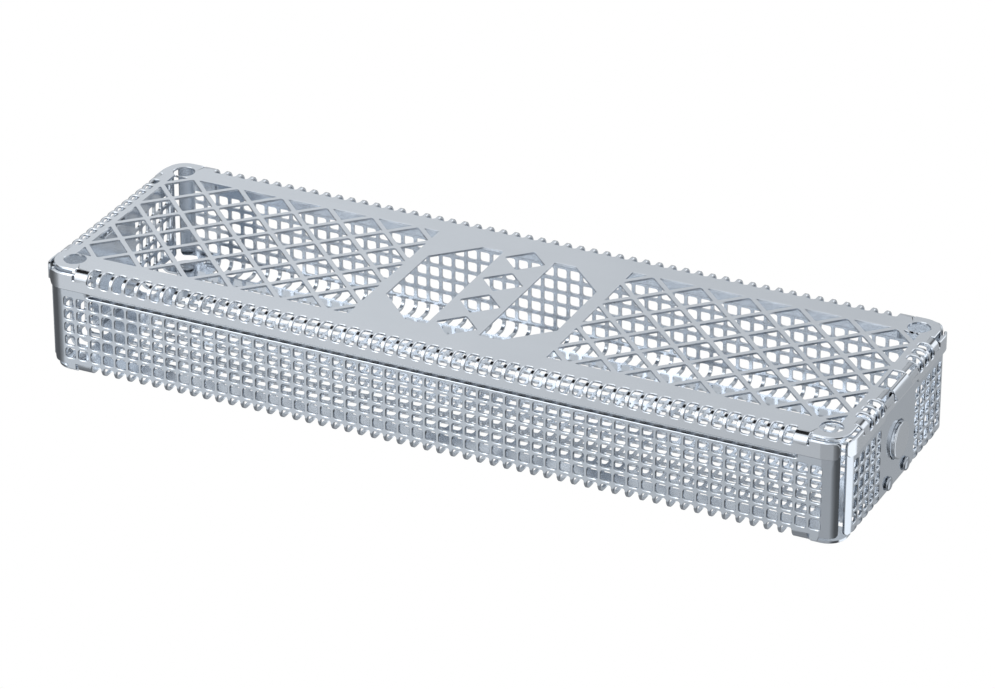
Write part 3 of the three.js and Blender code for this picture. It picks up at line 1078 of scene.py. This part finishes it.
@dataclass
class Lid:
    """The lattice lid with its slotted bend, flange, corner strips and pivot tongue."""

    group: RowsGroup
    low: float = 34.4
    strip_top: float = 40.6
    plate_r: float = 7.4
    plate_steps: int = 10
    long_slots: int = 53
    end_slots: int = 12
    latch_slots: int = 3
    slot_w: float = 3.5
    slot_reach: float = 5.3
    slot_low: float = 37.5
    lattice: float = 18.0
    bar: float = 1.7
    field_x: Point = (36.3, 144.3)
    field_y: float = 36.0
    window_x: Point = (9.8, 32.3)
    window_y: float = 30.5
    window_cut: float = 48.4
    corner_hole: float = 4.0
    latch_low: float = 35.9
    hook_window: Point = (144.8, 6.9)
    hook_low: float = 37.4
    rim: Rim = Rim(0.24, 0.05, (145.4, 42.8))
    fold: Fold = field(
        default_factory=lambda: Fold(
            half_x=151.1,
            half_y=48.6,
            corner_x=141.6,
            corner_y=39.1,
            sheet=0.8,
            bend_r=3.3,
            plate_z=41.6,
            side=Side.DOWN,
            long_end=136.9,
            end_end=34.0,
            strip_gap=1.9,
        )
    )

    @property
    def reach(self) -> float:
        """Half the diagonal of a lattice opening."""
        return self.lattice / 2 - self.bar / math.sqrt(2)

    def _strips(self) -> tuple[Loop, Loop]:
        """The free edge of the end strip and of the long strip, in the first quadrant."""
        fold = self.fold
        low_u, low_v = fold.reach_x(self.low), fold.reach_y(self.low)
        top_u, top_v = fold.reach_x(self.strip_top), fold.reach_y(self.strip_top)
        end_tip = fold.corner_y + math.radians(35) * fold.corner_r
        long_tip = fold.corner_x + math.radians(41) * fold.corner_r
        r = 2.2
        end = arc((low_u - r, end_tip - r), r, 0, 90, 6)
        end += arc((top_u + r, end_tip - r), r, 90, 180, 6)
        long = arc((long_tip - r, top_v + r), r, 270, 360, 6)
        long += arc((long_tip - r, low_v - r), r, 0, 90, 6)
        return end, long

    def _outline(self) -> Loop:
        """The blank's outer edge; the latch end's free flange differs from the pivot end."""
        fold = self.fold
        low_u, low_v = fold.reach_x(self.low), fold.reach_y(self.low)
        top_u, top_v = fold.reach_x(self.strip_top), fold.reach_y(self.strip_top)
        end, long = self._strips()
        latch_u = fold.reach_x(self.latch_low)
        latch_y = (self.end_slots / 2 - self.latch_slots) * PITCH
        corner = end + fold.corner_edge(top_u, self.plate_r, self.plate_steps, top_v) + long
        latch = [(latch_u, 0.0), (latch_u, latch_y - 0.6), (low_u, latch_y + 0.6)]
        right = tidy(latch + corner + [(0.0, low_v)])
        left = tidy([(low_u, 0.0)] + corner + [(0.0, low_v)])
        loop = right + [(-x, y) for x, y in reversed(left)]
        loop += [(-x, -y) for x, y in left] + [(x, -y) for x, y in reversed(right)]
        return tidy(loop)

    def _latch_slit(self) -> Loop:
        """The opening that frees the flange from the plate over the latch."""
        fold = self.fold
        half = (self.end_slots / 2 - self.latch_slots) * PITCH
        notch_x, notch_y = self.hook_window
        top_u = fold.reach_x(self.strip_top)
        hook_u = fold.reach_x(self.hook_low)
        plate_u = fold.corner_x + self.plate_r
        bend_u = fold.start_x + fold.run
        upper = [
            (notch_x, notch_y),
            (plate_u, notch_y),
            (plate_u, half - 0.5),
            (fold.start_x, half - 0.5),
            (fold.start_x, half),
            (bend_u, half),
            (bend_u, half - 0.5),
            (top_u, half - 0.5),
            (top_u, notch_y),
            (hook_u, notch_y),
        ]
        return upper + [(x, -y) for x, y in reversed(upper)]

    def _lattice_edges(self) -> list[Loop]:
        """The cut diamonds along the frame of both lattice fields."""
        reach, frame = self.reach, self.bar / 2
        short = reach - frame
        half = self.lattice / 2
        x0, x1 = self.field_x
        y1 = self.field_y
        ends, sides = ((x0, 1), (x1, -1)), ((-y1, 1), (y1, -1))
        loops: list[Loop] = []
        for j in range(2, round(2 * y1 / half), 2):
            y = -y1 + j * half
            for edge, turn in ends:
                base = edge + turn * frame
                loops.append([(base, y - short), (edge + turn * reach, y), (base, y + short)])
        for i in range(2, round((x1 - x0) / half), 2):
            x = x0 + i * half
            for edge, turn in sides:
                base = edge + turn * frame
                loops.append([(x - short, base), (x + short, base), (x, edge + turn * reach)])
        for edge, turn in ends:
            for low, up in sides:
                x, y = edge + turn * frame, low + up * frame
                loops.append([(x, y), (edge + turn * short, y), (x, low + up * short)])
        loops = [rounded(loop, 0.35, 2) for loop in loops]
        return loops + [[(-x, y) for x, y in loop] for loop in loops]

    def _windows(self) -> list[Loop]:
        """The two long windows either side of the middle."""
        x0, x1 = self.window_x
        shoulder, end = self.window_cut - x1, self.window_cut - self.window_y
        y1 = self.window_y
        loop = [(x0, -y1), (end, -y1), (x1, -shoulder), (x1, shoulder), (end, y1), (x0, y1)]
        loop = rounded(loop, 0.6)
        return [loop, [(-x, y) for x, y in loop]]

    def _rows(self) -> list[Rows]:
        """Every grid of slots and diamonds."""
        fold = self.fold
        slot_v = (fold.half_y - self.slot_reach + fold.reach_y(self.slot_low)) / 2
        slot_u = (fold.half_x - self.slot_reach + fold.reach_x(self.slot_low)) / 2
        centre = (self.field_x[0] + self.field_x[1]) / 2
        step = (self.lattice, self.lattice)
        side = (self.end_slots / 2 - self.latch_slots / 2) * PITCH
        rows = [Rows(Family.DIAMOND, 1, 4, step, (0.0, 0.0), 45.0)]
        for sign in (1, -1):
            rows.append(
                Rows(Family.SLOT_LONG, self.long_slots, 1, (PITCH, PITCH), (0.0, sign * slot_v))
            )
            rows.append(
                Rows(Family.SLOT_END, 1, self.latch_slots, (PITCH, PITCH), (slot_u, sign * side))
            )
            rows.append(Rows(Family.DIAMOND, 6, 4, step, (sign * centre, 0.0), 45.0))
            rows.append(Rows(Family.DIAMOND, 5, 3, step, (sign * centre, 0.0), 45.0))
        rows.append(Rows(Family.SLOT_END, 1, self.end_slots, (PITCH, PITCH), (-slot_u, 0.0)))
        return rows

    def build(self, material: bpy.types.Material) -> bpy.types.Object:
        """Builds the folded lid.

        Args:
            material: its finish.

        Returns:
            The lid's sheet.
        """
        fold = self.fold
        loops = [self._outline(), self._latch_slit(), *self._windows(), *self._lattice_edges()]
        for sx in (1, -1):
            for sy in (1, -1):
                centre = (sx * fold.corner_x, sy * fold.corner_y)
                loops.append(circle(centre, self.corner_hole, 48))
        length_y = fold.reach_y(self.slot_low) - (fold.half_y - self.slot_reach)
        side = self.reach * math.sqrt(2)
        openings = [
            Opening(Family.SLOT_LONG, self.slot_w, length_y, 0.9, 3),
            Opening(Family.SLOT_END, length_y, self.slot_w, 0.9, 3),
            Opening(Family.DIAMOND, side, side, 0.5, 2),
        ]
        blank = Blank("lid", loops, self._rows(), openings, material, self.group)
        return folded_sheet("lid_sheet", blank, fold, self.rim)

    def build_tongue(self, material: bpy.types.Material) -> bpy.types.Object:
        """The tongue that pivots in the end wall's slot."""
        solid = brick((-150.9, -8.0, 34.41), (-147.9, 8.0, 35.2))
        bmesh.ops.bevel(
            solid, geom=solid.edges[:], offset=0.2 * MM, segments=2, affect="EDGES", profile=0.5
        )
        return piece("lid_tongue", [solid], material)

    def dress(self, sheet: bpy.types.Material) -> None:
        """Builds the lid's pieces and sets them on its body."""
        seat(self.build(sheet), "lid", "lid")
        seat(self.build_tongue(sheet), "lid")


@dataclass
class Latch:
    """The leaf spring with its rolled hook, and the round push button."""

    x: float = 148.3
    thickness: float = 0.8
    half: float = 6.5
    root_half: float = 11.5
    root: Point = (5.0, 10.8)
    button_z: float = 20.1
    button_r: float = 6.6
    button_back: float = 149.0
    button_face: float = 151.6

    def build_spring(self, material: bpy.types.Material) -> bpy.types.Object:
        """The leaf: widened root, blade and rolled hook."""
        x = self.x
        hook = smooth_line(
            [(x, 39.4), (x + 0.25, 40.6), (x + 0.95, 41.35), (x + 1.8, 41.0), (x + 3.45, 38.1)]
        )
        line = [(x, z) for z in (self.root[0], 12.0, 24.0, 36.0)] + hook
        blade = swept_strip(line, self.thickness, self.half)
        half = self.thickness / 2
        low, high = self.root
        wings = [
            brick((x - half, sign * self.half, low), (x + half, sign * self.root_half, high))
            for sign in (1, -1)
        ]
        return piece("latch_leaf", [blade, *wings], material)

    def build_button(self, material: bpy.types.Material) -> bpy.types.Object:
        """The push button, its rim broken and its face very slightly dished."""
        r, back, face = self.button_r, self.button_back, self.button_face
        profile = [(0, back), (r, back), (r, face - 0.5), (r - 0.08, face - 0.22)]
        profile += [(r - 0.25, face - 0.06), (r - 0.5, face), (r - 1.2, face), (0, face - 0.12)]
        shift = Vector((0.0, 0.0, self.button_z)) * MM
        solid = place(turned(profile, 64), lambda p: Vector((p.z, p.y, -p.x)) + shift)
        return piece("latch_push_button", [solid], material)

    def dress(self, material: bpy.types.Material) -> None:
        """Builds the latch's pieces and sets them on its body."""
        for made, node in (
            (self.build_spring(material), "latch_spring"),
            (self.build_button(material), "latch_button"),
        ):
            seat(made, "latch", node)


# ---- studio ----


@dataclass(frozen=True)
class Glow:
    """A round card of the surround, by its direction, full and outer radius and tone."""

    towards: tuple[float, float, float]
    full: float
    outer: float
    tone: float

    def over(self, graph: Graph, ray: Term, under: Term) -> Term:
        """Lays the card over the surround's tone.

        Args:
            graph: the world's graph.
            ray: the direction that is looked in.
            under: the tone without the card.

        Returns:
            The tone with it.
        """
        length = math.hypot(*self.towards)
        aim = tuple(c / length for c in self.towards)
        near = graph.term(
            "ShaderNodeVectorMath", {0: ray, 1: aim}, output="Value", operation="DOT_PRODUCT"
        )
        full, outer = math.cos(math.radians(self.full)), math.cos(math.radians(self.outer))
        share = ((near - outer) * (1.0 / (full - outer))).clamped()
        return under + (self.tone - under) * share


@dataclass
class Studio:
    """Pale floor, soft lights, sky and the camera."""

    camera_at: tuple[float, float, float] = (0.6450, -1.3398, 0.7946)
    camera_to: tuple[float, float, float] = (0.0186, -0.0339, 0.0420)
    lens: float = 176.0
    floor_half: float = 6.0
    sky_tint: tuple[float, float, float] = (0.94, 0.97, 1.0)
    sky_tones: Sequence[Point] = (
        (0.0, 0.34),
        (0.14, 0.30),
        (0.25, 0.50),
        (0.50, 0.52),
        (0.70, 0.80),
        (0.76, 0.92),
        (1.0, 0.80),
    )
    glows: Sequence[Glow] = (
        Glow((0.10, 0.85, 0.52), 8.0, 32.0, 0.50),
        Glow((-0.384, -0.75, 0.55), 34.0, 44.0, 1.25),
        Glow((0.50, 0.75, 0.35), 11.0, 18.0, 1.30),
        Glow((0.20, 0.76, 0.60), 5.0, 12.0, 0.03),
        Glow((-0.38, 0.30, 0.87), 22.0, 28.0, 0.015),
        Glow((-0.52, -0.74, -0.43), 8.0, 16.0, 0.80),
        Glow((0.80, -0.384, -0.461), 14.0, 34.0, 0.11),
        Glow((0.78, 0.36, -0.475), 20.0, 29.0, 1.35),
        Glow((-0.86, 0.15, -0.461), 20.0, 46.0, 0.13),
    )

    def floor(self) -> None:
        """A wide pale floor."""
        made = bpy.data.meshes.new("floor")
        r = self.floor_half
        made.from_pydata([(-r, -r, 0), (r, -r, 0), (r, r, 0), (-r, r, 0)], [], [(0, 1, 2, 3)])
        floor = bpy.data.objects.new("floor", made)
        bpy.context.scene.collection.objects.link(floor)
        material = bpy.data.materials.new("pale_floor")
        material.use_nodes = True
        graph = Graph(material.node_tree)
        white = graph.node("ShaderNodeEmission", {"Color": (1.0, 1.0, 1.0, 1.0), "Strength": 1.0})
        out = graph.node("ShaderNodeOutputMaterial")
        material.node_tree.links.new(white.outputs[0], out.inputs[0])
        floor.visible_glossy = False
        floor.visible_diffuse = False
        made.materials.append(material)

    def sky(self) -> None:
        """A soft surround of light and dark cards, set by direction."""
        world = bpy.data.worlds.new("studio_surround")
        world.use_nodes = True
        bpy.context.scene.world = world
        graph = Graph(world.node_tree)
        ray = graph.term("ShaderNodeTexCoord", output="Generated")
        height = graph.term("ShaderNodeSeparateXYZ", {0: ray}, output=2)
        ramp = graph.node("ShaderNodeValToRGB", {0: (height * 0.5 + 0.5)})
        stops = ramp.color_ramp.elements
        for spare in list(stops)[1:]:
            stops.remove(spare)
        for index, (position, tone) in enumerate(self.sky_tones):
            stop = stops[0] if index == 0 else stops.new(position)
            stop.position, stop.color = position, (tone, tone, tone, 1.0)
        tone = graph.term("ShaderNodeRGBToBW", {0: ramp.outputs[0]})
        for glow in self.glows:
            tone = glow.over(graph, ray, tone)
        back = graph.node(
            "ShaderNodeBackground", {"Color": (*self.sky_tint, 1.0), "Strength": tone}
        )
        out = graph.node("ShaderNodeOutputWorld")
        world.node_tree.links.new(back.outputs[0], out.inputs[0])

    def lamp(self, name: str, at: tuple[float, float, float], size: Point, watts: float) -> None:
        """One soft rectangular light aimed at the tray."""
        data = bpy.data.lights.new(name, "AREA")
        data.shape = "RECTANGLE"
        data.size, data.size_y = size
        data.energy = watts
        lamp = bpy.data.objects.new(name, data)
        lamp.location = at
        aim = Vector((0, 0, 0.02)) - Vector(at)
        lamp.rotation_euler = aim.to_track_quat("-Z", "Y").to_euler()
        bpy.context.scene.collection.objects.link(lamp)

    def camera(self) -> None:
        """The view from the front, above the latch end's corner."""
        data = bpy.data.cameras.new("camera")
        data.lens = self.lens
        data.sensor_width = 36.0
        data.clip_start, data.clip_end = 0.01, 50.0
        camera = bpy.data.objects.new("camera", data)
        camera.location = self.camera_at
        aim = Vector(self.camera_to) - Vector(self.camera_at)
        camera.rotation_euler = aim.to_track_quat("-Z", "Y").to_euler()
        bpy.context.scene.collection.objects.link(camera)
        bpy.context.scene.camera = camera

    def build(self) -> None:
        """Everything round the tray."""
        self.floor()
        self.sky()
        self.lamp("softbox", (-0.8, -1.55, 1.25), (1.5, 1.2), 9.0)
        self.camera()


def main() -> None:
    """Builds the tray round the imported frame, then the studio."""
    bpy.context.scene.view_settings.view_transform = "Standard"
    logging.basicConfig(level=logging.INFO, format="%(name)s %(message)s")
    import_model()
    group = RowsGroup()
    stud = STUD_STEEL_PAINTED_DARK.material()
    Basket(group).dress(BASKET_STEEL.material(), stud)
    Lid(group).dress(LID_STEEL.material())
    Latch().dress(SPRING_STEEL.material())
    Studio().build()


if __name__ == "__main__":
    main()
